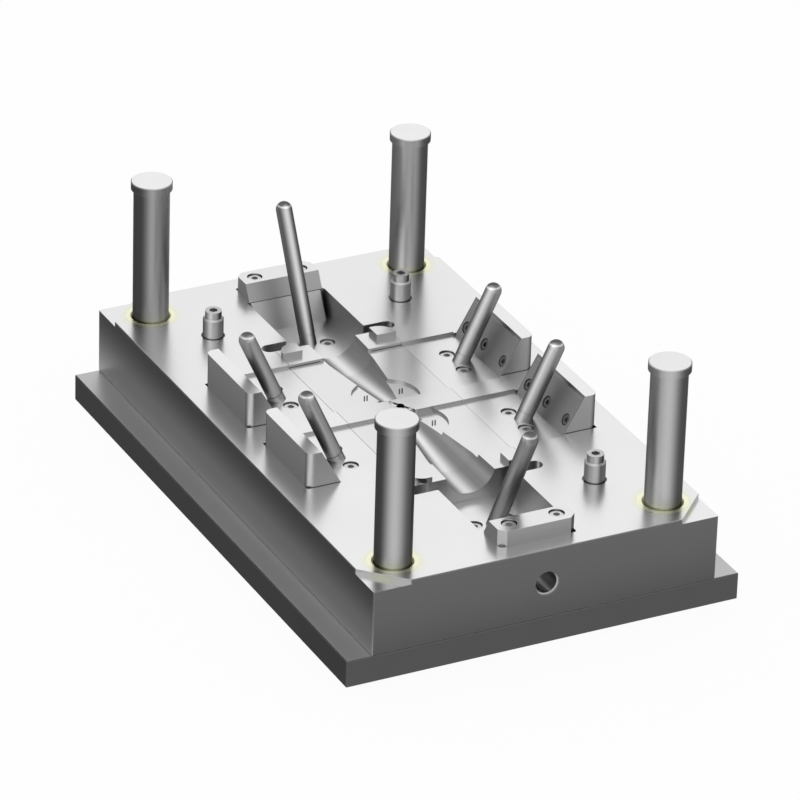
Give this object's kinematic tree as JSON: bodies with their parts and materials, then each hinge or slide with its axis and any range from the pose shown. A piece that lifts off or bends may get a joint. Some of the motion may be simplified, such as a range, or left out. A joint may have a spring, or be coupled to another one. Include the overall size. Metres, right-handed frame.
{
  "type": "plastic mould",
  "caption": "Fixed half of a plastic injection mould: steel plates, tapered half-round cavities, guide pins in bushes, leaning angle pins and heel blocks for core slides.",
  "frame": {"origin": "centre of the clamp plate's back face, on the locating ring's axis", "axes": "+Z out of the parting face, Y along the long side, X across"},
  "size_m": [0.4, 0.6, 0.2508],
  "materials": {
    "ground_plate_steel": "finely ground, bright, mirror-like at a low angle",
    "clamp_plate_steel": "ground",
    "polished_insert_steel": "polished",
    "heel_steel": "ground",
    "pin_steel": "hardened and finely ground",
    "seat_steel": "milled",
    "screw_steel": "bright zinc",
    "guide_bronze": "machined pale bronze"
  },
  "bodies": {
    "mould_half": {"clamp_plate": "clamp_plate_steel", "cavity_plate": "ground_plate_steel", "cavity_insert": "polished_insert_steel", "sprue_bush": "polished_insert_steel", "locating_ring": "clamp_plate_steel", "locating_ring_screws": "screw_steel", "clamp_plate_screws": "screw_steel", "insert_screws": "screw_steel", "dowel_pins": "pin_steel", "guide_bush_front_left": "guide_bronze", "guide_bush_front_right": "guide_bronze", "guide_bush_back_left": "guide_bronze", "guide_bush_back_right": "guide_bronze", "side_angle_pin_front_left": "pin_steel", "side_angle_pin_front_right": "pin_steel", "side_angle_pin_back_left": "pin_steel", "side_angle_pin_back_right": "pin_steel", "end_angle_pin_front": "pin_steel", "end_angle_pin_back": "pin_steel", "side_pin_seat_front_left": "seat_steel", "side_pin_seat_front_right": "seat_steel", "side_pin_seat_back_left": "seat_steel", "side_pin_seat_back_right": "seat_steel", "end_pin_seat_front": "seat_steel", "end_pin_seat_back": "seat_steel", "pin_seat_screws": "screw_steel", "side_heel_block_front_left": "heel_steel", "side_heel_block_front_right": "heel_steel", "side_heel_block_back_left": "heel_steel", "side_heel_block_back_right": "heel_steel", "side_wear_plate_front_left": "heel_steel", "side_wear_plate_front_right": "heel_steel", "side_wear_plate_back_left": "heel_steel", "side_wear_plate_back_right": "heel_steel", "wear_plate_screws": "screw_steel", "side_heel_screws": "screw_steel", "end_heel_block_front": "heel_steel", "end_heel_block_back": "heel_steel", "end_heel_screws": "screw_steel", "end_wear_wedge_front": "heel_steel", "end_wear_wedge_back": "heel_steel", "end_wear_screws": "screw_steel", "parting_lock_sleeve_front_left": "pin_steel", "parting_lock_sleeve_front_right": "pin_steel", "parting_lock_sleeve_back_left": "pin_steel", "parting_lock_sleeve_back_right": "pin_steel", "parting_lock_screws": "screw_steel"},
    "guide_pin_front_left": {"guide_pin_front_left": "pin_steel"},
    "guide_pin_front_right": {"guide_pin_front_right": "pin_steel"},
    "guide_pin_back_left": {"guide_pin_back_left": "pin_steel"},
    "guide_pin_back_right": {"guide_pin_back_right": "pin_steel"}
  },
  "joints": [
    {"name": "guide_pin_front_left_slide", "type": "slide", "parent": "mould_half", "child": "guide_pin_front_left", "axis": [0, 0, 1], "range_m": [0, 0.06]},
    {"name": "guide_pin_front_right_slide", "type": "slide", "parent": "mould_half", "child": "guide_pin_front_right", "axis": [0, 0, 1], "range_m": [0, 0.06]},
    {"name": "guide_pin_back_left_slide", "type": "slide", "parent": "mould_half", "child": "guide_pin_back_left", "axis": [0, 0, 1], "range_m": [0, 0.06]},
    {"name": "guide_pin_back_right_slide", "type": "slide", "parent": "mould_half", "child": "guide_pin_back_right", "axis": [0, 0, 1], "range_m": [0, 0.06]}
  ]
}
